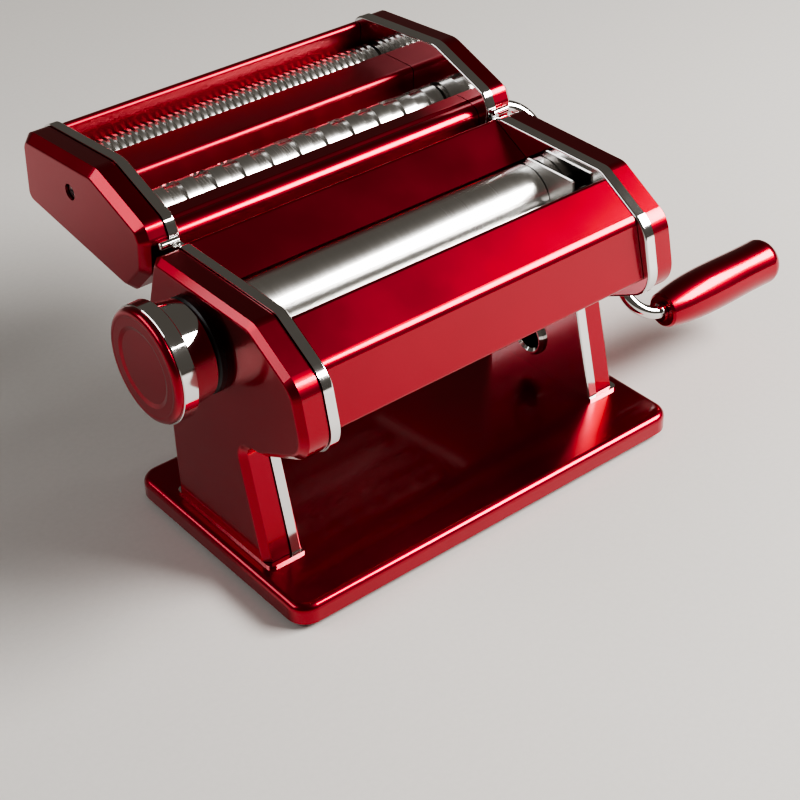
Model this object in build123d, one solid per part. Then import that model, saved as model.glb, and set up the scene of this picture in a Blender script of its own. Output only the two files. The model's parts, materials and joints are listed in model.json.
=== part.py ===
from build123d import *
import os
from math import cos, radians, sin

# Hand-cranked pasta machine: smooth rollers in a head on two legs, with a two-pair cutter
# head hooked on behind.  Millimetres.  +X to the crank side, +Y to the back, +Z up.
# The origin is the middle of the base's footprint, on the table.

# ---- base and sheet metal ----
BASE_WIDTH = 209.0
BASE_DEPTH = 120.0
BASE_CORNER = 9.0
BASE_RIM_Z = 3.0            # lower edge of the base tray, held up by the feet
BASE_TOP = 12.0
TRAY_WALL = 1.5
FOOT_R = 7.5
FOOT_X, FOOT_Y = 90.0, 47.0
SHEET = 1.2                 # side plates and hoods

# ---- widths, as distances from the middle plane ----
PLATE_IN = 81.0             # inner faces of the side plates
PLATE_OUT = 86.0            # outer edge of their chrome flanges
CASING_IN = 86.3
CASING_FACE = 98.2          # flat outer face of the head and leg casings
CASING_BEVEL = 2.8          # bevel round that face
CAP_FACE = 98.0             # flat outer face of the cutter caps
CAP_BEVEL = 3.7
CAP_SETBACK = 0.8           # caps and casings stand this far inside the flanges' edges
CAP_WALL = 1.7
CAP_BLEND = 1.6             # rounding where the bevel meets the face
FLANGE_BEND = 1.0           # outside radius of the bend between a side plate's web and flange
HOOD_END = 80.8
BARREL_END = 80.2           # ends of every roller's barrel

# ---- smooth rollers ----
ROLLER_R = 14.5
ROLLER_Z = 104.6
REAR_Y = 6.6                # rear roller at the widest setting
WIDEST_GAP = 4.8
NARROWEST_GAP = 0.6
GAP_TRAVEL = WIDEST_GAP - NARROWEST_GAP
FRONT_Y = REAR_Y - 2 * ROLLER_R - WIDEST_GAP
GUIDE_X = 75.0              # inner face of each sheet guide, half of the 150 mm rolling width
GUIDE_GROOVE_R = 12.0       # the guides ride in grooves of this radius
SHAFT_R = 6.0               # driven shafts, with the crank socket in their right ends
REAR_SHAFT_R = 5.0
RUN = 0.06                  # radial clearance of every running fit

# ---- crank ----
ROD_R = 3.1
SOCKET_R = ROD_R + RUN
SOCKET_BOTTOM = 80.6
HUB_END = 97.2
CRANK_X = 116.5             # plane that the crank's arm lies in
CRANK_ARM = 117.0
CRANK_ANGLE = -135.4        # arm hangs forwards and down
CRANK_BEND = 15.0
GRIP_NEAR, GRIP_FAR = 130.5, 203.0

# ---- thickness knob ----
SETTINGS = 10
SETTING_ANGLE = 36.0
KNOB_AXIS = (6.6, 103.0)
KNOB_R = 24.8
KNOB_FRONT = 120.8          # front edge of the knob's ring
DIAL_R = 20.4
DIAL_HUB_R = 8.0
DIAL_FACE = CASING_FACE + 3.6
DETENT_R = 15.0             # circle of the detent holes
KNOB_IN = DIAL_FACE + 0.8   # inner end of the knob
KNOB_WEB = KNOB_IN + 1.6    # the web between these, 2 mm thick, slides on the spindle
WEB = 2.0
SKIRT_R, SKIRT_BORE = 22.2, 18.0
SKIRT_END = 118.0           # outer end of the skirt, inside the ring
RING_START = 114.0
CAP_R = 24.1
SPINDLE_R = 5.0
SQUARE = 7.0                # the spindle's outer end is square
SPINDLE_HEAD = 113.6
CAM_R = 12.0
FOLLOWER_R = 2.0

# ---- bearing blocks of the rear roller ----
BLOCK_Y = 9.0               # half width of a block's body
BLOCK_LOW, BLOCK_TOP = 84.6, 115.6
BAR_Z = 87.2

# ---- gears ----
ROLLER_TEETH = 11
CUTTER_TEETH = 12
OPPOSITE_GAP = 180.0 + 180.0 / CUTTER_TEETH     # a tooth of one cutter gear faces a gap of the other

# ---- cutter rollers ----
CUTTER_R = 9.6
CUTTER_GROOVE_R = 8.0
CUTTER_SPACING = 18.0
CUTTER_JOURNAL_R = 4.0
WIDE_PITCH, WIDE_RIDGE = 14.5, 7.15
FINE_PITCH, FINE_RIDGE = 3.52, 1.66
WIDE_FRONT = (57.5, 119.5)
WIDE_TILT = 8.0
WIDE_FIRST = 3.0            # a ridge of the rear wide cutter is centred here
WIDE_RING_R = CUTTER_GROOVE_R + 0.22
FINE_FRONT = (103.8, 122.3)
FINE_TILT = 14.0


def behind(centre, tilt):
    """Axis of a cutter pair's rear roller, from its front one."""
    return (centre[0] + CUTTER_SPACING * cos(radians(tilt)),
            centre[1] + CUTTER_SPACING * sin(radians(tilt)))


WIDE_REAR = behind(WIDE_FRONT, WIDE_TILT)
FINE_REAR = behind(FINE_FRONT, FINE_TILT)

# ---- side outlines: (y, z, corner radius) ----
LEG_FRONT, LEG_BACK = -30.2, 37.0
HEAD_OUTLINE = [
    (-30.7, 129.9, 8.0), (-57.6, 113.8, 14.0), (-63.8, 83.8, 14.0), (-30.9, 67.5, 12.0),
    (-17.7, 65.0, 5.0), (LEG_FRONT, BASE_TOP, 0.0), (LEG_BACK, BASE_TOP, 0.0), (LEG_BACK, 72.0, 10.0),
    (44.0, 84.0, 10.0), (44.0, 106.0, 12.0), (36.0, 130.1, 6.0),
]
THROAT = HEAD_OUTLINE[4]    # inner corner between the head and the front of the leg
LEG_EXTENSION = 8.0         # casing outlines start this far below the base, then are cut off
CUTTER_OUTLINE = [
    (40.0, 131.1, 7.0), (43.2, 138.4, 7.0), (76.8, 150.8, 14.0), (135.8, 146.9, 9.0),
    (138.8, 111.4, 8.0), (56.6, 101.2, 9.0), (41.7, 116.3, 10.0),
]

TIE_RODS = [(-49.5, 91.0), (33.5, 90.4), (28.5, 118.6)]
CUTTER_RODS = [(132.9, 118.8), (89.3, 111.5)]
EYELET = (9.3, 29.0)
EYELET_BORE_R = 6.6
HOOK_PIN = (38.9, 129.6)
HOOK_PIN_R = 1.7
HOOK_PIN_ROOT = 3.0         # length of the pin that is welded into the flange
CAP_SCREW = (95.8, 133.0)
SIDES = (-1, 1)

CRANK_AXIS = WIDE_FRONT
GRIP_AXIS = (CRANK_AXIS[0] + CRANK_ARM * cos(radians(CRANK_ANGLE)),
             CRANK_AXIS[1] + CRANK_ARM * sin(radians(CRANK_ANGLE)))


# ---- building blocks ----
def yz_face(corners, inset=0.0):
    """Closed outline in the YZ plane, its corners rounded, moved inwards by inset."""
    face = make_face(Polyline([(y, z) for y, z, _ in corners], close=True))
    for y, z, radius in corners:
        if radius > 0:
            face = fillet(face.vertices().sort_by_distance((y, z, 0))[0], radius)
    return offset(face, amount=-inset, kind=Kind.ARC) if inset else face


def prism(face, low, high):
    """Outline pushed along X, from low to high."""
    return extrude(Plane(origin=(low, 0, 0), x_dir=(0, 1, 0), z_dir=(1, 0, 0)) * face, amount=high - low)


def on_side(face, side, near, far):
    """Outline pushed along X between two distances from the middle plane, on one side."""
    low, high = sorted((side * near, side * far))
    return prism(face, low, high)


def rod(centre, radius, low, high):
    """Cylinder along X."""
    start = Plane(origin=(low, centre[0], centre[1]), z_dir=(1, 0, 0))
    return start * Cylinder(radius, high - low, align=(Align.CENTER, Align.CENTER, Align.MIN))


def side_rod(centre, radius, side, near, far):
    low, high = sorted((side * near, side * far))
    return rod(centre, radius, low, high)


def block(x0, x1, y0, y1, z0, z1):
    """Box between two corners."""
    centre = ((x0 + x1) / 2, (y0 + y1) / 2, (z0 + z1) / 2)
    return Pos(*centre) * Box(abs(x1 - x0), abs(y1 - y0), abs(z1 - z0))


def side_block(side, near, far, y0, y1, z0, z1):
    return block(side * near, side * far, y0, y1, z0, z1)


def folded_sheet(points, radii, end, thickness=SHEET):
    """Sheet whose middle line runs through the YZ points, from -end to end in X."""
    line = FilletPolyline([(y, z) for y, z in points], radius=radii)
    return prism(trace(line, thickness), -end, end)


def turned(profile, centre, ends):
    """Solid of revolution about an X axis, from (x, radius) points between two ends."""
    low, high = ends
    outline = [(low, 0), *profile, (high, 0)]
    face = make_face(Polyline(outline, close=True))
    return Pos(0, centre[0], centre[1]) * revolve(face, Axis.X)


def gear(centre, teeth, root_r, tip_r, root_half, tip_half, bore_r, near, far, first_tooth):
    """Spur gear with tapered teeth; first_tooth is one tooth's direction in degrees."""
    sketch = Circle(root_r)
    buried = root_r - 1.0
    tooth = make_face(Polyline([(buried, -root_half), (root_r, -root_half), (tip_r, -tip_half),
                                (tip_r, tip_half), (root_r, root_half), (buried, root_half)], close=True))
    for number in range(teeth):
        sketch += Rot(0, 0, first_tooth + number * 360 / teeth) * tooth
    sketch -= Circle(bore_r)
    return Pos(0, centre[0], centre[1]) * prism(sketch, near, far)


def group(*solids):
    """Separate solids that share one node."""
    return Compound(children=list(solids))


# ---- frame ----
def base_plate():
    tray = extrude(Pos(0, 0, BASE_RIM_Z) * RectangleRounded(BASE_WIDTH, BASE_DEPTH, BASE_CORNER),
                   amount=BASE_TOP - BASE_RIM_Z)
    tray = fillet(tray.faces().sort_by(Axis.Z)[-1].edges(), 3.2)
    hollow = RectangleRounded(BASE_WIDTH - 2 * TRAY_WALL, BASE_DEPTH - 2 * TRAY_WALL, BASE_CORNER - TRAY_WALL)
    tray -= extrude(Pos(0, 0, BASE_RIM_Z) * hollow, amount=BASE_TOP - TRAY_WALL - BASE_RIM_Z)
    for x, y in base_screw_places():
        tray -= Pos(x, y, BASE_TOP) * Cylinder(2.0, 3 * TRAY_WALL)
    return tray


def base_screw_places():
    return [(side * 90.5, y) for side in SIDES for y in (-20.0, 26.0)]


def rubber_feet():
    foot = Cylinder(FOOT_R, BASE_TOP - TRAY_WALL, align=(Align.CENTER, Align.CENTER, Align.MIN))
    foot = fillet(foot.faces().sort_by(Axis.Z)[0].edges(), 1.0)
    return group(*[Pos(sx * FOOT_X, sy * FOOT_Y, 0) * foot for sx in SIDES for sy in SIDES])


def base_screws():
    head_top = BASE_TOP - TRAY_WALL
    shank = Cylinder(2.0, 4.6, align=(Align.CENTER, Align.CENTER, Align.MIN))
    head = Cylinder(3.6, 2.2, align=(Align.CENTER, Align.CENTER, Align.MAX))
    slot = Pos(0, 0, -2.2) * Box(5.0, 0.9, 1.2)
    screw = (shank + head) - slot
    return group(*[Pos(x, y, head_top) * screw for x, y in base_screw_places()])


def flanged_plate(corners, side):
    """Pressed side plate: a flat web with a flange turned outwards all round."""
    plate = on_side(yz_face(corners), side, PLATE_IN, PLATE_OUT)
    web = plate.faces().sort_by(Axis.X)[0 if side > 0 else -1]
    plate = fillet(web.outer_wire().edges(), FLANGE_BEND)
    return plate - on_side(yz_face(corners, SHEET), side, PLATE_IN + SHEET, PLATE_OUT + 1)


def side_plate(side):
    plate = flanged_plate(HEAD_OUTLINE, side)
    foot_flange = side_block(side, PLATE_IN, CASING_FACE - 0.2, LEG_FRONT - 1.2, LEG_BACK + 1.0,
                             BASE_TOP, BASE_TOP + SHEET)
    foot_flange = fillet(foot_flange.edges().filter_by(Axis.Z).group_by(Axis.X)[0 if side < 0 else -1], 3.0)
    plate += foot_flange
    for x, y in base_screw_places():
        plate -= Pos(x, y, BASE_TOP) * Cylinder(2.0, 6.0)
    near, far = PLATE_IN - 1, PLATE_IN + 3
    plate -= side_rod((FRONT_Y, ROLLER_Z), 8.5, side, near, far)
    for centre in TIE_RODS:
        plate -= side_rod(centre, 2.0, side, near, far)
    clear = 0.15
    plate -= side_block(side, near, far, REAR_Y - BLOCK_Y - GAP_TRAVEL - clear, REAR_Y + BLOCK_Y + clear,
                        BLOCK_LOW - clear, BLOCK_TOP + clear)
    if side > 0:
        plate -= side_rod(EYELET, EYELET_BORE_R + 1.2, side, near, far)
    return plate


def tie_rods():
    """Spacer rods between the side plates, with thinner ends through the plates."""
    ends = PLATE_IN + 7.0
    return group(*[rod(c, 3.0, -PLATE_IN, PLATE_IN) + rod(c, 2.0, -ends, ends) for c in TIE_RODS])


def nut(centre, side, near, thickness, across_flats, bore_r):
    face = RegularPolygon(across_flats / 2, 6, major_radius=False) - Circle(bore_r)
    return Pos(0, centre[0], centre[1]) * on_side(face, side, near, near + thickness)


def tie_rod_nuts():
    return group(*[nut(c, side, PLATE_IN + SHEET, 3.2, 7.0, 2.0) for c in TIE_RODS for side in SIDES])


def bevelled_cap(corners, side, face_x, bevel):
    """Moulded cap: the outline with a bevel round its outer face, hollow behind."""
    shell = on_side(yz_face(corners, CAP_SETBACK), side, CASING_IN, face_x)
    outer = shell.faces().sort_by(Axis.X)[-1 if side > 0 else 0]
    shell = chamfer(outer.outer_wire().edges(), bevel)
    outer = shell.faces().sort_by(Axis.X)[-1 if side > 0 else 0]
    shell = fillet(outer.outer_wire().edges(), CAP_BLEND)
    inside = CAP_SETBACK + CAP_WALL
    shell -= on_side(yz_face(corners, inside), side, CASING_IN - 1, face_x - bevel - 0.9)
    return shell - on_side(yz_face(corners, inside + bevel - 0.8), side, CASING_IN - 1, face_x - CAP_WALL)


def leg_end_lowered(y, z, radius):
    """A corner of the head outline, moved down along the leg if it is at the leg's foot."""
    if z > BASE_TOP:
        return (y, z, radius)
    lean = (LEG_FRONT - THROAT[0]) / (THROAT[1] - BASE_TOP) if y < 0 else 0.0
    return (y + lean * LEG_EXTENSION, z - LEG_EXTENSION, radius)


def casing(side):
    """One cover over the head and the leg of a side."""
    corners = [leg_end_lowered(*corner) for corner in HEAD_OUTLINE]
    cover = bevelled_cap(corners, side, CASING_FACE, CASING_BEVEL)
    above_foot = BASE_TOP + SHEET + 0.2
    cover -= side_block(side, CASING_IN - 2, CASING_FACE + 2, -80.0, 80.0, above_foot - 20.0, above_foot)
    if side > 0:
        cover -= side_rod((FRONT_Y, ROLLER_Z), SHAFT_R + 1.4, side, CASING_IN, CASING_FACE + 1)
    else:
        cover -= side_rod(KNOB_AXIS, DIAL_HUB_R, side, CASING_IN, CASING_FACE + 1)
    return cover


def front_hood():
    points = [(-32.2, 123.4), (-32.7, 127.1), (-52.2, 115.2), (-58.5, 89.6), (-54.0, 88.4)]
    return folded_sheet(points, [1.2, 5.0, 1.2], HOOD_END)


def rear_hood():
    points = [(14.8, 117.5), (35.6, 128.8), (42.7, 106.5), (42.7, 86.0)]
    return folded_sheet(points, [1.2, 10.0], HOOD_END)


def clamp_eyelet():
    """Rolled eyelet in the right leg, where the table clamp's pin goes in."""
    inner_x, outer_x = PLATE_IN - 2.6, PLATE_IN + 10.0
    points = [(inner_x + 1.2, EYELET_BORE_R), (inner_x, EYELET_BORE_R + 1.4), (inner_x, EYELET_BORE_R + 2.2),
              (inner_x + 1.4, 10.0), (PLATE_IN, 10.0), (PLATE_IN, EYELET_BORE_R + 1.2),
              (outer_x, EYELET_BORE_R + 1.2), (outer_x, EYELET_BORE_R)]
    ring = revolve(make_face(Polyline(points, close=True)), Axis.X)
    return Pos(0, EYELET[0], EYELET[1]) * ring


def bush(centre, outer_r, bore_r, side):
    near, far = PLATE_IN - 0.4, PLATE_IN + 2.6
    return side_rod(centre, outer_r, side, near, far) - side_rod(centre, bore_r, side, near - 1, far + 1)


def front_roller_bushes():
    return group(*[bush((FRONT_Y, ROLLER_Z), 8.5, SHAFT_R + RUN, side) for side in SIDES])


def scraper(points, end):
    return prism(trace(Polyline(points), 0.8), -end, end)


def front_scraper():
    return scraper([(-51.4, 95.3), (-47.4, 95.1), (-40.0, 97.2)], HOOD_END)


def rear_scraper():
    return scraper([(34.0, 94.5), (29.6, 94.5), (20.0, 97.7)], HOOD_END)


def knob_dial():
    """Fixed disc behind the knob, with one detent hole for each setting and the spindle's bush."""
    dial = side_rod(KNOB_AXIS, DIAL_R, -1, CASING_FACE, DIAL_FACE)
    dial = chamfer(dial.faces().sort_by(Axis.X)[0].edges(), 1.2)
    dial += side_rod(KNOB_AXIS, DIAL_HUB_R, -1, CASING_FACE - 4.0, CASING_FACE)
    dial -= side_rod(KNOB_AXIS, SPINDLE_R + RUN, -1, CASING_FACE - 5.0, DIAL_FACE + 1)
    for setting in range(SETTINGS):
        hole = on_circle(KNOB_AXIS, DETENT_R, 90 + setting * SETTING_ANGLE)
        dial -= side_rod(hole, 1.7, -1, CASING_FACE + 0.8, DIAL_FACE + 1)
    return dial


def on_circle(centre, radius, angle):
    """Point at a polar angle in the YZ plane, in degrees."""
    return (centre[0] + radius * cos(radians(angle)), centre[1] + radius * sin(radians(angle)))


def cutter_seats():
    """Ledges on the head's rear corners, which the cutter's hook pins sit on."""
    (back_y, back_z, _), (top_y, top_z, _) = HEAD_OUTLINE[-2:]
    top = HOOK_PIN[1] - HOOK_PIN_R - 0.05
    low = top - 5.0
    edge = [top_y + (top_z - z) * (back_y - top_y) / (top_z - back_z) for z in (top, low)]
    ledge = yz_face([(edge[0], top, 0), (40.2, top, 0.6), (40.2, low, 0), (edge[1], low, 0)])
    return group(*[on_side(ledge, side, PLATE_IN + 0.2, PLATE_OUT) for side in SIDES])


# ---- rollers ----
def smooth_barrel(centre, bore_r):
    barrel = rod(centre, ROLLER_R, -BARREL_END, BARREL_END)
    for side in SIDES:
        groove = side_rod(centre, ROLLER_R + 1, side, GUIDE_X - 0.3, GUIDE_X + SHEET + 0.3)
        barrel -= groove - side_rod(centre, GUIDE_GROOVE_R, side, GUIDE_X - 1, GUIDE_X + SHEET + 1)
    return barrel - rod(centre, bore_r, -BARREL_END - 1, BARREL_END + 1)


def drive_socket(centre):
    """Round hole for the crank, ending in a slot for its tang."""
    hole = rod(centre, SOCKET_R, SOCKET_BOTTOM, HUB_END + 1)
    slot = block(SOCKET_BOTTOM - 5.0, SOCKET_BOTTOM, centre[0] - 2.9, centre[0] + 2.9,
                 centre[1] - 1.3, centre[1] + 1.3)
    return hole + slot


def front_roller():
    return smooth_barrel((FRONT_Y, ROLLER_Z), SHAFT_R)


def front_roller_shaft():
    centre = (FRONT_Y, ROLLER_Z)
    return rod(centre, SHAFT_R, -PLATE_IN - 4.0, HUB_END) - drive_socket(centre)


def roller_gear(centre, bore_r, first_tooth):
    near = PLATE_IN + 3.7
    return gear(centre, ROLLER_TEETH, 11.4, 17.6, 2.1, 0.8, bore_r, near, near + 5.5, first_tooth)


def front_roller_gear():
    return roller_gear((FRONT_Y, ROLLER_Z), SHAFT_R, 0.0)


def rear_roller():
    return smooth_barrel((REAR_Y, ROLLER_Z), REAR_SHAFT_R)


def rear_roller_shaft():
    return rod((REAR_Y, ROLLER_Z), REAR_SHAFT_R, -PLATE_IN - 3.4, PLATE_IN + 11.6)


def rear_roller_gear():
    return roller_gear((REAR_Y, ROLLER_Z), REAR_SHAFT_R, 180.0 + 180.0 / ROLLER_TEETH)


def bearing_block(side):
    """Block that slides in the side plate's window and carries the rear roller's shaft."""
    front, back, outer = REAR_Y - BLOCK_Y, REAR_Y + BLOCK_Y, PLATE_IN + 3.4
    keeper = PLATE_IN + SHEET + 0.2
    lip = 2.0
    body = side_block(side, PLATE_IN - 0.5, outer, front, back, BLOCK_LOW, BLOCK_TOP)
    body += side_block(side, keeper, outer, front - lip, back + lip, BLOCK_LOW - lip, BLOCK_TOP + lip)
    if side < 0:
        cam_y, cam_z = KNOB_AXIS
        follower = (cam_y - CAM_R - FOLLOWER_R - 0.15, cam_z)
        body += side_block(side, keeper, outer, follower[0] - FOLLOWER_R - 2, REAR_Y, cam_z - 4, cam_z + 4)
        body += side_rod(follower, FOLLOWER_R, side, PLATE_IN + 3.0, PLATE_IN + 9.2)
    body -= side_rod((REAR_Y, ROLLER_Z), REAR_SHAFT_R + RUN, side, PLATE_IN - 2, PLATE_IN + 5)
    return body - side_rod((REAR_Y, BAR_Z), 1.0, side, PLATE_IN - 2, PLATE_IN + 5)


def carriage_bar():
    """Bar below the rear roller that ties its two bearing blocks together."""
    ends = PLATE_IN + 3.0
    centre = (REAR_Y, BAR_Z)
    return rod(centre, 2.0, -PLATE_IN + 0.5, PLATE_IN - 0.5) + rod(centre, 1.0, -ends, ends)


def sheet_guide(side):
    """Plate that keeps the dough on the rollers, riding in their grooves."""
    back, front, low, top = REAR_Y + 1.8, FRONT_Y + 6.4, 103.1, 122.4
    corners = [(front, low, 0), (back, low, 0), (back, top, 1.0), (front, top, 1.0)]
    plate = on_side(yz_face(corners), side, GUIDE_X, GUIDE_X + SHEET)
    clear_r = GUIDE_GROOVE_R + 0.3
    plate -= side_rod((REAR_Y, ROLLER_Z), clear_r, side, GUIDE_X - 1, GUIDE_X + SHEET + 1)
    for y in (FRONT_Y, FRONT_Y + GAP_TRAVEL):
        plate -= side_rod((y, ROLLER_Z), clear_r, side, GUIDE_X - 1, GUIDE_X + SHEET + 1)
    return plate


# ---- knob ----
def thickness_cam():
    """Spiral cam: its radius grows evenly by the gap's travel over all the settings."""
    turn = SETTING_ANGLE * (SETTINGS - 1)
    steps = 27
    spiral = []
    for step in range(steps + 1):
        part = step / steps
        angle, radius = 180 + part * turn, CAM_R + part * GAP_TRAVEL
        spiral.append((radius * cos(radians(angle)), radius * sin(radians(angle))))
    lead_in = 8.0
    start = (CAM_R * cos(radians(180 - lead_in)), CAM_R * sin(radians(180 - lead_in)))
    face = make_face(Spline(spiral) + Polyline(spiral[-1], (-8.0, 12.4), start, spiral[0]))
    face -= Circle(SPINDLE_R)
    near = PLATE_IN + 5.4
    return Pos(0, *KNOB_AXIS) * on_side(face, -1, near, near + 3.2)


def square_bar(half, near, far):
    """Square bar along the knob's axis."""
    y, z = KNOB_AXIS
    return side_block(-1, near, far, y - half, y + half, z - half, z + half)


def knob_spindle():
    spindle = side_rod(KNOB_AXIS, SPINDLE_R, -1, PLATE_IN + 5.0, KNOB_IN - 0.2)
    spindle += square_bar(SQUARE / 2, KNOB_IN - 0.2, SPINDLE_HEAD)
    return spindle + side_rod(KNOB_AXIS, 6.8, -1, SPINDLE_HEAD, SPINDLE_HEAD + 1.4)


def knob_skirt():
    """Waist of the knob, closed by a web with a square hole."""
    skirt = turned([(-SKIRT_END, SKIRT_R), (-RING_START, SKIRT_R), (-KNOB_IN, DIAL_R)], KNOB_AXIS,
                   (-SKIRT_END, -KNOB_IN))
    skirt -= side_rod(KNOB_AXIS, SKIRT_BORE, -1, KNOB_WEB + WEB, SKIRT_END + 1)
    skirt -= side_rod(KNOB_AXIS, SKIRT_BORE, -1, KNOB_IN - 1, KNOB_WEB)
    return skirt - square_bar(SQUARE / 2 + 0.15, KNOB_IN - 1, SKIRT_END)


def knob_ring():
    profile = [(-KNOB_FRONT, KNOB_R - 0.3), (-KNOB_FRONT + 0.3, KNOB_R), (-RING_START - 0.5, KNOB_R),
               (-RING_START, KNOB_R - 0.5)]
    ring = turned(profile, KNOB_AXIS, (-KNOB_FRONT, -RING_START))
    ring -= side_rod(KNOB_AXIS, SKIRT_R, -1, RING_START - 1, SKIRT_END)
    return ring - side_rod(KNOB_AXIS, CAP_R, -1, SKIRT_END, KNOB_FRONT + 1)


def knob_cap():
    """Raised disc with a rounded shoulder and a shallow sunken middle, set in the ring."""
    wall_x, top_x, sunk_x, back_x = -KNOB_FRONT - 0.6, -KNOB_FRONT - 2.6, -KNOB_FRONT - 2.0, -KNOB_FRONT - 0.2
    shoulder = ThreePointArc((wall_x, CAP_R), (wall_x - 1.4, CAP_R - 0.8), (top_x, CAP_R - 3.4))
    rest = Polyline((top_x, CAP_R - 3.4), (top_x, 17.0), (sunk_x, 15.2), (sunk_x, 0), (back_x, 0),
                    (back_x, CAP_R - 3.0), (-SKIRT_END, CAP_R - 1.6), (-SKIRT_END, CAP_R), (wall_x, CAP_R))
    return Pos(0, *KNOB_AXIS) * revolve(make_face(shoulder + rest), Axis.X)


def knob_detent_pin():
    """Pin in the knob's web, drawn as it stands when it is clear of the dial's holes."""
    return side_rod(on_circle(KNOB_AXIS, DETENT_R, 90), 1.5, -1, DIAL_FACE + 0.2, KNOB_WEB)


def knob_spring():
    """Compression spring between the knob's web and the spindle's head."""
    low, wire_r, turns = KNOB_WEB + WEB, 0.45, 4
    height = SPINDLE_HEAD - low - 2 * wire_r
    path = Helix(pitch=height / turns, height=height, radius=6.0)
    coil = sweep(Plane(origin=path @ 0, z_dir=path % 0) * Circle(wire_r), path=path)
    return Plane(origin=(-low - wire_r, *KNOB_AXIS), z_dir=(-1, 0, 0)) * coil


# ---- cutter head ----
def cutter_plate(side):
    plate = flanged_plate(CUTTER_OUTLINE, side)
    near, far = PLATE_IN - 1, PLATE_IN + 3
    for centre, radius in cutter_bush_holes(side):
        plate -= side_rod(centre, radius, side, near, far)
    for centre in CUTTER_RODS:
        plate -= side_rod(centre, 1.5, side, near, far)
    return plate - side_rod(HOOK_PIN, HOOK_PIN_R, side, PLATE_OUT - HOOK_PIN_ROOT, PLATE_OUT + 1)


def cutter_bush_holes(side):
    """Bush seats in a cutter side plate; the driven shafts are thick on the right only."""
    driven = 8.0 if side > 0 else 6.0
    return [(WIDE_FRONT, driven), (FINE_FRONT, driven), (WIDE_REAR, 6.0), (FINE_REAR, 6.0)]


def cutter_bushes():
    rings = []
    for side in SIDES:
        for centre, radius in cutter_bush_holes(side):
            journal = SHAFT_R if radius == 8.0 else CUTTER_JOURNAL_R
            rings.append(bush(centre, radius, journal + RUN, side))
    return group(*rings)


def cutter_cap(side):
    cap = bevelled_cap(CUTTER_OUTLINE, side, CAP_FACE, CAP_BEVEL)
    cap += side_rod(CAP_SCREW, 5.0, side, CAP_FACE - 5.0, CAP_FACE - 1.0)
    cap -= side_rod(CAP_SCREW, 3.6, side, CAP_FACE - 3.2, CAP_FACE + 1)
    cap -= side_rod(CAP_SCREW, 1.5, side, CAP_FACE - 6.0, CAP_FACE)
    if side > 0:
        for centre in (WIDE_FRONT, FINE_FRONT):
            cap -= side_rod(centre, SHAFT_R + 1.2, side, CASING_IN, CAP_FACE + 1)
    return cap


def cutter_cap_screws():
    screws = []
    for side in SIDES:
        screw = side_rod(CAP_SCREW, 2.9, side, CAP_FACE - 3.2, CAP_FACE - 1.4)
        screw += side_rod(CAP_SCREW, 1.5, side, PLATE_IN + SHEET + 0.2, CAP_FACE - 3.2)
        for dy, dz in ((1.9, 0.45), (0.45, 1.9)):
            screw -= side_block(side, CAP_FACE - 2.4, CAP_FACE, CAP_SCREW[0] - dy, CAP_SCREW[0] + dy,
                                CAP_SCREW[1] - dz, CAP_SCREW[1] + dz)
        screws.append(screw)
    return group(*screws)


def cutter_front_cover():
    points = [(61.3, 130.8), (54.0, 130.8), (52.4, 129.9), (46.8, 129.9), (45.6, 115.5)]
    return folded_sheet(points, [0.8, 0.8, 5.0], HOOD_END)


def cutter_middle_cover():
    points = [(91.9, 123.4), (91.9, 133.6), (112.4, 133.6)]
    return folded_sheet(points, [2.0], HOOD_END)


def cutter_back_cover():
    points = [(130.9, 132.6), (130.9, 143.4), (134.0, 142.9), (136.8, 116.5)]
    return folded_sheet(points, [1.4, 1.4], HOOD_END)


def cutter_tie_rods():
    ends = PLATE_IN + 4.0
    return group(*[rod(c, 2.0, -PLATE_IN, PLATE_IN) + rod(c, 1.5, -ends, ends) for c in CUTTER_RODS])


def cutter_hook_pins():
    pins = [side_rod(HOOK_PIN, HOOK_PIN_R, side, PLATE_OUT - HOOK_PIN_ROOT, PLATE_OUT + 6.0)
            for side in SIDES]
    return group(*[fillet(pin.faces().sort_by(Axis.X)[-1 if side > 0 else 0].edges(), 1.0)
                   for pin, side in zip(pins, SIDES)])


def centres_across(pitch, first, limit):
    """Positions at a pitch along X, none further out than the limit."""
    count = int(2 * limit / pitch) + 2
    places = [first + (i - count // 2) * pitch for i in range(count + 1)]
    return [x for x in places if abs(x) <= limit]


def cutter_barrel(centre, pitch, ridge, first, ring_r):
    """Roller with square ridges; ring_r, when given, is the radius of fine rings in its grooves."""
    half = ridge / 2
    profile = [(-BARREL_END, CUTTER_GROOVE_R)]
    for x in centres_across(pitch, first, BARREL_END - half - 0.4):
        if ring_r and x - pitch + half > -BARREL_END:
            for ring in range(1, 5):
                at = x - pitch + half + (pitch - ridge) * ring / 5
                profile += [(at - 0.3, CUTTER_GROOVE_R), (at - 0.2, ring_r), (at + 0.2, ring_r),
                            (at + 0.3, CUTTER_GROOVE_R)]
        profile += [(x - half, CUTTER_GROOVE_R), (x - half, CUTTER_R), (x + half, CUTTER_R),
                    (x + half, CUTTER_GROOVE_R)]
    profile.append((BARREL_END, CUTTER_GROOVE_R))
    return turned(profile, centre, (-BARREL_END, BARREL_END))


def driven_cutter(centre, pitch, ridge, first, ring_r):
    roller = cutter_barrel(centre, pitch, ridge, first, ring_r)
    roller += rod(centre, CUTTER_JOURNAL_R, -PLATE_IN - 4.0, -BARREL_END)
    roller += rod(centre, SHAFT_R, BARREL_END, HUB_END)
    return roller - drive_socket(centre)


def idle_cutter(centre, pitch, ridge, first, ring_r):
    roller = cutter_barrel(centre, pitch, ridge, first, ring_r)
    return roller + rod(centre, CUTTER_JOURNAL_R, -PLATE_IN - 4.0, PLATE_IN + 11.0)


def fettuccine_front_roller():
    return driven_cutter(WIDE_FRONT, WIDE_PITCH, WIDE_RIDGE, WIDE_FIRST + WIDE_PITCH / 2, WIDE_RING_R)


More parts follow.
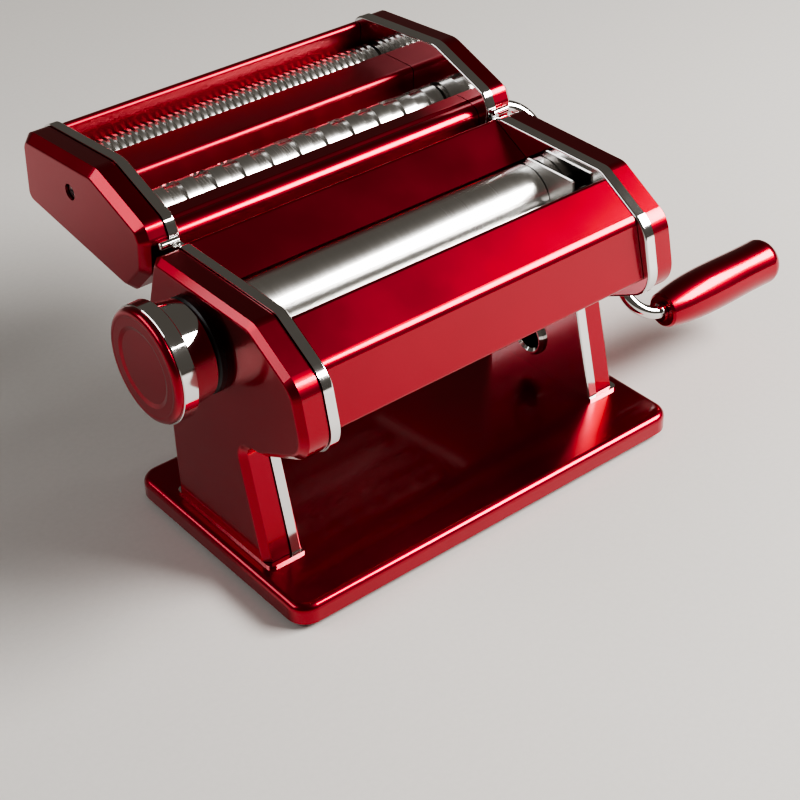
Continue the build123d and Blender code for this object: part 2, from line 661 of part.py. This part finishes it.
def fettuccine_rear_roller():
    return idle_cutter(WIDE_REAR, WIDE_PITCH, WIDE_RIDGE, WIDE_FIRST, WIDE_RING_R)


def tagliolini_front_roller():
    return driven_cutter(FINE_FRONT, FINE_PITCH, FINE_RIDGE, FINE_PITCH / 2, None)


def tagliolini_rear_roller():
    return idle_cutter(FINE_REAR, FINE_PITCH, FINE_RIDGE, 0.0, None)


def cutter_gear(centre, bore_r, first_tooth):
    near = PLATE_IN + 3.2
    return gear(centre, CUTTER_TEETH, 7.5, 10.1, 1.2, 0.6, bore_r, near, near + 7.0, first_tooth)


def comb(centre, angle, pitch, ridge, first):
    """Strip below a cutter roller with a finger in each of its grooves."""
    bar_in, bar_out, reach = 11.0, 13.6, CUTTER_GROOVE_R + 0.5
    half_bar, half_finger = 1.8, (pitch - ridge) / 2 - 0.3
    strip = block(-PLATE_IN, PLATE_IN, bar_in, bar_out, -half_bar, half_bar)
    fingers = [block(x - half_finger, x + half_finger, reach, bar_in + 0.5, -0.6, 0.6)
               for x in centres_across(pitch, first + pitch / 2, BARREL_END - 3.0)]
    strip = strip + fingers
    return Pos(0, *centre) * Rot(X=angle) * strip


def fettuccine_combs():
    return group(comb(WIDE_FRONT, -100, WIDE_PITCH, WIDE_RIDGE, WIDE_FIRST + WIDE_PITCH / 2),
                 comb(WIDE_REAR, -80, WIDE_PITCH, WIDE_RIDGE, WIDE_FIRST))


def tagliolini_combs():
    return group(comb(FINE_FRONT, -100, FINE_PITCH, FINE_RIDGE, FINE_PITCH / 2),
                 comb(FINE_REAR, -80, FINE_PITCH, FINE_RIDGE, 0.0))


# ---- crank ----
def crank_rod():
    """Bent rod with a flat tang for the socket and a thick collar below the grip."""
    start, rod_end = SOCKET_BOTTOM + 0.2, GRIP_FAR - 5.0
    corners = [(start, *CRANK_AXIS), (CRANK_X, *CRANK_AXIS), (CRANK_X, *GRIP_AXIS), (rod_end, *GRIP_AXIS)]
    path = FilletPolyline(*corners, radius=CRANK_BEND)
    bent = sweep(Plane(origin=corners[0], z_dir=(1, 0, 0)) * Circle(ROD_R), path=path)
    y, z = CRANK_AXIS
    bent += block(start - 4.4, start, y - 2.7, y + 2.7, z - 1.15, z + 1.15)
    return bent + rod(GRIP_AXIS, 4.6, GRIP_NEAR - 2.4, GRIP_NEAR - 0.3)


def crank_grip():
    near_r, full_r, end_r = 8.4, 11.2, 9.4
    outline = [(GRIP_NEAR, near_r - 1.0), (GRIP_NEAR + 1.0, near_r)]
    swell = Spline((GRIP_NEAR + 1.0, near_r), (GRIP_NEAR + 12.0, full_r - 0.9), (GRIP_NEAR + 24.0, full_r),
                   (GRIP_FAR - 6.0, full_r - 0.1))
    nose = ThreePointArc((GRIP_FAR - 6.0, full_r - 0.1), (GRIP_FAR - 2.0, end_r), (GRIP_FAR, 5.6))
    rest = Polyline((GRIP_FAR, 5.6), (GRIP_FAR, 0), (GRIP_NEAR, 0), *outline)
    grip = Pos(0, *GRIP_AXIS) * revolve(make_face(swell + nose + rest), Axis.X)
    return grip - rod(GRIP_AXIS, ROD_R + RUN, GRIP_NEAR - 1, GRIP_FAR - 4.0)


NODES = {
    "base_plate": base_plate(),
    "rubber_feet": rubber_feet(),
    "base_screws": base_screws(),
    "left_side_plate": side_plate(-1),
    "right_side_plate": side_plate(1),
    "tie_rods": tie_rods(),
    "tie_rod_nuts": tie_rod_nuts(),
    "left_casing": casing(-1),
    "right_casing": casing(1),
    "front_hood": front_hood(),
    "rear_hood": rear_hood(),
    "clamp_eyelet": clamp_eyelet(),
    "front_roller_bushes": front_roller_bushes(),
    "front_scraper": front_scraper(),
    "rear_scraper": rear_scraper(),
    "knob_dial": knob_dial(),
    "cutter_seats": cutter_seats(),
    "front_roller": front_roller(),
    "front_roller_shaft": front_roller_shaft(),
    "front_roller_gear": front_roller_gear(),
    "rear_roller": rear_roller(),
    "rear_roller_shaft": rear_roller_shaft(),
    "rear_roller_gear": rear_roller_gear(),
    "left_bearing_block": bearing_block(-1),
    "right_bearing_block": bearing_block(1),
    "carriage_bar": carriage_bar(),
    "left_sheet_guide": sheet_guide(-1),
    "right_sheet_guide": sheet_guide(1),
    "knob_spindle": knob_spindle(),
    "thickness_cam": thickness_cam(),
    "knob_skirt": knob_skirt(),
    "knob_ring": knob_ring(),
    "knob_cap": knob_cap(),
    "knob_detent_pin": knob_detent_pin(),
    "knob_spring": knob_spring(),
    "left_cutter_plate": cutter_plate(-1),
    "right_cutter_plate": cutter_plate(1),
    "left_cutter_cap": cutter_cap(-1),
    "right_cutter_cap": cutter_cap(1),
    "cutter_cap_screws": cutter_cap_screws(),
    "cutter_front_cover": cutter_front_cover(),
    "cutter_middle_cover": cutter_middle_cover(),
    "cutter_back_cover": cutter_back_cover(),
    "cutter_tie_rods": cutter_tie_rods(),
    "cutter_bushes": cutter_bushes(),
    "cutter_hook_pins": cutter_hook_pins(),
    "fettuccine_combs": fettuccine_combs(),
    "tagliolini_combs": tagliolini_combs(),
    "fettuccine_front_roller": fettuccine_front_roller(),
    "fettuccine_front_gear": cutter_gear(WIDE_FRONT, SHAFT_R, WIDE_TILT),
    "fettuccine_rear_roller": fettuccine_rear_roller(),
    "fettuccine_rear_gear": cutter_gear(WIDE_REAR, CUTTER_JOURNAL_R, WIDE_TILT + OPPOSITE_GAP),
    "tagliolini_front_roller": tagliolini_front_roller(),
    "tagliolini_front_gear": cutter_gear(FINE_FRONT, SHAFT_R, FINE_TILT),
    "tagliolini_rear_roller": tagliolini_rear_roller(),
    "tagliolini_rear_gear": cutter_gear(FINE_REAR, CUTTER_JOURNAL_R, FINE_TILT + OPPOSITE_GAP),
    "crank_rod": crank_rod(),
    "crank_grip": crank_grip(),
}

os.makedirs("parts", exist_ok=True)
for name, shape in NODES.items():
    export_step(shape, f"parts/{name}.step")
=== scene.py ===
import json
from math import cos, pi, radians, sin

import bpy
from mathutils import Euler, Matrix, Vector

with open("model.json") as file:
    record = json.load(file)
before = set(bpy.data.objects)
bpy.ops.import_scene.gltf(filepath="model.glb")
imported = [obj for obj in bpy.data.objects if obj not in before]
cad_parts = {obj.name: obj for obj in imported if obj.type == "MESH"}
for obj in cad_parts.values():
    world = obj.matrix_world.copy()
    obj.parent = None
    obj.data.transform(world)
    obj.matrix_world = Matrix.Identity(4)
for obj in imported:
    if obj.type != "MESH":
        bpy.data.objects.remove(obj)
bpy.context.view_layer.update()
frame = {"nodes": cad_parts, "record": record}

# ---- the camera, from where the machine stands ----
CAMERA_AZIMUTH = 38.21          # degrees from +Y towards +X
CAMERA_DOWN = 35.3
CAMERA_ROLL = -1.68
CAMERA_PLACE = Vector((-0.3972, -0.4990, 0.4857))
LENS_MM = 80.8
SENSOR_MM = 36.0

FLAKES_PER_M = 4200.0           # scale of the metal flake in the lacquer
HAIRLINES_PER_M = 700.0         # scale of the polishing marks on the chrome
RINGS_PER_M = 3400.0            # scale of the turning marks on the rollers
FLOOR_R = 12.0
FLOOR_STEPS = 48                # corners of the floor's edge
LIGHT_AIM = Vector((0.0, 0.02, 0.07))
WORLD_COLOUR = (1.0, 0.92, 0.82, 1.0)
WORLD_STRENGTH = 0.11


# ---- node helpers ----
class Nodes:
    """Builds one material's node tree with short calls."""

    def __init__(self, name):
        self.material = bpy.data.materials.new(name)
        self.material.use_nodes = True
        self.tree = self.material.node_tree
        self.shader = self.tree.nodes["Principled BSDF"]
        self.place = self.tree.nodes.new("ShaderNodeTexCoord").outputs["Object"]

    def set(self, **values):
        for name, value in values.items():
            self.shader.inputs[name.replace("_", " ")].default_value = value

    def link(self, output, name):
        self.tree.links.new(output, self.shader.inputs[name])

    def add(self, kind, inputs=None, **settings):
        node = self.tree.nodes.new(kind)
        for name, value in settings.items():
            setattr(node, name, value)
        for name, value in (inputs or {}).items():
            if isinstance(value, bpy.types.NodeSocket):
                self.tree.links.new(value, node.inputs[name])
            else:
                node.inputs[name].default_value = value
        return node

    def stretched(self, scale):
        return self.add("ShaderNodeMapping", {"Vector": self.place, "Scale": scale}).outputs["Vector"]

    def noise(self, scale, detail=3.0, roughness=0.5, vector=None):
        node = self.add("ShaderNodeTexNoise", {"Vector": vector or self.place, "Scale": scale,
                                               "Detail": detail, "Roughness": roughness})
        return node.outputs["Fac"]

    def cells(self, scale):
        """Distance to the nearest of many scattered points."""
        return self.add("ShaderNodeTexVoronoi", {"Vector": self.place, "Scale": scale}).outputs["Distance"]

    def between(self, value, low, high, start=0.0, end=1.0):
        """Value from start..end spread over low..high."""
        return self.add("ShaderNodeMapRange", {"Value": value, "From Min": start, "From Max": end,
                                               "To Min": low, "To Max": high}).outputs["Result"]

    def blend(self, factor, first, second):
        node = self.add("ShaderNodeMix", {"Factor": factor}, data_type="RGBA")
        for index, colour in ((6, first), (7, second)):
            if isinstance(colour, bpy.types.NodeSocket):
                self.tree.links.new(colour, node.inputs[index])
            else:
                node.inputs[index].default_value = (*colour, 1.0)
        return node.outputs[2]

    def combine(self, operation, first, second):
        return self.add("ShaderNodeMath", {0: first, 1: second}, operation=operation).outputs["Value"]

    def bump(self, height, distance, strength):
        inputs = {"Height": height, "Distance": distance, "Strength": strength}
        return self.add("ShaderNodeBump", inputs).outputs["Normal"]


# ---- materials ----
def red_lacquer(name="red_lacquer", rough_low=0.29, rough_high=0.33, coat_roughness=0.09):
    """Candy red lacquer over fine metal flake, satin, with faint smears and orange peel."""
    m = Nodes(name)
    speck = m.cells(FLAKES_PER_M)
    cloud = m.noise(14.0, 3.0)
    tint = m.blend(m.between(cloud, 0.0, 1.0, 0.3, 0.7), (0.38, 0.0020, 0.018), (0.43, 0.0028, 0.023))
    m.link(m.blend(m.between(speck, 0.35, 0.0, 0.0, 0.35), tint, (0.62, 0.014, 0.036)), "Base Color")
    m.set(Metallic=1.0, Coat_Weight=0.9, Coat_Roughness=coat_roughness, Coat_IOR=1.5)
    smear = m.noise(30.0, 4.0, 0.5)
    m.link(m.between(smear, rough_low, rough_high, 0.35, 0.65), "Roughness")
    peel = m.noise(420.0, 2.0, 0.4)
    m.link(m.bump(peel, 0.000005, 0.2), "Normal")
    return m.material


def chrome():
    """Mirror plate with hairline polishing marks and faint handling smears."""
    m = Nodes("chrome")
    cloud = m.noise(25.0, 3.0)
    m.link(m.blend(cloud, (0.74, 0.73, 0.72), (0.80, 0.79, 0.78)), "Base Color")
    m.set(Metallic=1.0)
    smear = m.noise(45.0, 5.0, 0.6)
    m.link(m.between(smear, 0.05, 0.12, 0.35, 0.75), "Roughness")
    hairline = m.noise(HAIRLINES_PER_M, 2.0, 0.5, m.stretched((0.2, 2.0, 1.0)))
    m.link(m.bump(hairline, 0.000004, 0.15), "Normal")
    return m.material


def turned_metal(name, colour, rough_low, rough_high, ring_depth):
    """Metal turned on a lathe: fine rings round the X axis, satin."""
    m = Nodes(name)
    rings = m.noise(RINGS_PER_M, 2.0, 0.5, m.stretched((1.0, 0.002, 0.002)))
    broad = m.noise(24.0, 3.0, 0.5)
    dark = tuple(0.93 * c for c in colour)
    m.link(m.blend(m.between(rings, 0.0, 1.0, 0.3, 0.7), dark, colour), "Base Color")
    m.set(Metallic=1.0)
    m.link(m.combine("ADD", m.between(rings, rough_low, rough_high, 0.3, 0.7),
                     m.between(broad, -0.02, 0.02, 0.3, 0.7)), "Roughness")
    m.link(m.bump(rings, ring_depth, 0.4), "Normal")
    return m.material


def fastener_steel():
    m = Nodes("fastener_steel")
    grain = m.noise(1800.0, 3.0)
    m.link(m.blend(grain, (0.42, 0.42, 0.43), (0.62, 0.62, 0.62)), "Base Color")
    m.set(Metallic=1.0)
    m.link(m.between(m.noise(300.0, 4.0), 0.22, 0.42, 0.3, 0.7), "Roughness")
    m.link(m.bump(grain, 0.00003, 0.4), "Normal")
    return m.material


def moulded(name, low, high, rough_low, rough_high, depth=0.00003):
    """Fine-grained rubber or plastic between two shades."""
    m = Nodes(name)
    grain = m.noise(2000.0, 4.0)
    m.link(m.blend(grain, low, high), "Base Color")
    m.link(m.between(m.noise(120.0, 4.0), rough_low, rough_high, 0.3, 0.7), "Roughness")
    m.link(m.bump(grain, depth, 0.5), "Normal")
    return m.material


MAKERS = {
    "red_lacquer": red_lacquer,
    "chrome": chrome,
    "satin_aluminium": lambda: turned_metal("satin_aluminium", (0.84, 0.83, 0.81), 0.22, 0.27, 0.000002),
    "steel": fastener_steel,
    "rubber": lambda: moulded("foot_rubber", (0.018, 0.018, 0.019), (0.04, 0.04, 0.042),
                              0.65, 0.9, 0.00005),
    # On the knob's dial this black is painted shade and reflection: it stands in for the dark band where
    # the knob meets the casing.
    "black_plastic": lambda: moulded("black_plastic", (0.012, 0.011, 0.012), (0.022, 0.020, 0.021),
                                     0.3, 0.45),
    "bush_plastic": lambda: moulded("bush_plastic", (0.72, 0.70, 0.64), (0.82, 0.80, 0.74),
                                    0.38, 0.55),
}
MATERIALS = {slot: make() for slot, make in MAKERS.items()}


def paint(piece, material):
    piece.data.materials.clear()
    piece.data.materials.append(material)


for part in frame["record"]["subparts"]:
    paint(frame["nodes"][part["node"]], MATERIALS[part["material_slot"]])

cover_lacquer = red_lacquer("cover_lacquer", 0.42, 0.48, 0.32)
for node in ("cutter_middle_cover", "cutter_back_cover"):
    paint(frame["nodes"][node], cover_lacquer)


# ---- studio ----
def floor():
    """Plain pale table top, wide enough to fill the view."""
    m = Nodes("studio_floor")
    grain = m.noise(400.0, 3.0)
    m.link(m.blend(grain, (0.74, 0.72, 0.69), (0.79, 0.77, 0.74)), "Base Color")
    m.set(Roughness=0.6)
    mesh = bpy.data.meshes.new("floor")
    turns = [2 * pi * i / FLOOR_STEPS for i in range(FLOOR_STEPS)]
    ring = [(FLOOR_R * cos(turn), FLOOR_R * sin(turn), 0.0) for turn in turns]
    mesh.from_pydata(ring, [], [tuple(range(FLOOR_STEPS))])
    piece = bpy.data.objects.new("floor", mesh)
    bpy.context.scene.collection.objects.link(piece)
    paint(piece, m.material)


def soft_box(name, azimuth, height, distance, size, power, colour):
    """Area light that looks at the machine from an azimuth and a height in degrees."""
    a, h = radians(azimuth), radians(height)
    away = Vector((sin(a) * cos(h), cos(a) * cos(h), sin(h)))
    data = bpy.data.lights.new(name, "AREA")
    data.shape = "RECTANGLE"
    data.size, data.size_y = size
    data.energy = power
    data.color = colour
    light = bpy.data.objects.new(name, data)
    light.location = LIGHT_AIM + away * distance
    light.rotation_euler = (-away).to_track_quat("-Z", "Y").to_euler()
    bpy.context.scene.collection.objects.link(light)


def studio():
    world = bpy.data.worlds.new("studio")
    world.use_nodes = True
    background = world.node_tree.nodes["Background"]
    background.inputs["Color"].default_value = WORLD_COLOUR
    background.inputs["Strength"].default_value = WORLD_STRENGTH
    bpy.context.scene.world = world
    soft_box("window", 130.0, 36.0, 1.4, (0.85, 0.52), 28.0, (1.0, 0.98, 0.96))
    soft_box("left_card", -65.0, 33.0, 1.5, (1.3, 0.55), 6.0, (0.97, 0.98, 1.0))


def camera():
    data = bpy.data.cameras.new("camera")
    data.lens = LENS_MM
    data.sensor_width = SENSOR_MM
    data.clip_start, data.clip_end = 0.01, 20.0
    eye = bpy.data.objects.new("camera", data)
    eye.location = CAMERA_PLACE
    look = Euler((radians(90.0 - CAMERA_DOWN), 0.0, radians(-CAMERA_AZIMUTH)), "XYZ").to_matrix()
    eye.rotation_euler = (look @ Matrix.Rotation(radians(CAMERA_ROLL), 3, "Z")).to_euler()
    bpy.context.scene.collection.objects.link(eye)
    bpy.context.scene.camera = eye


floor()
studio()
camera()
bpy.context.scene.view_settings.view_transform = "AgX"
bpy.context.scene.view_settings.look = "AgX - High Contrast"
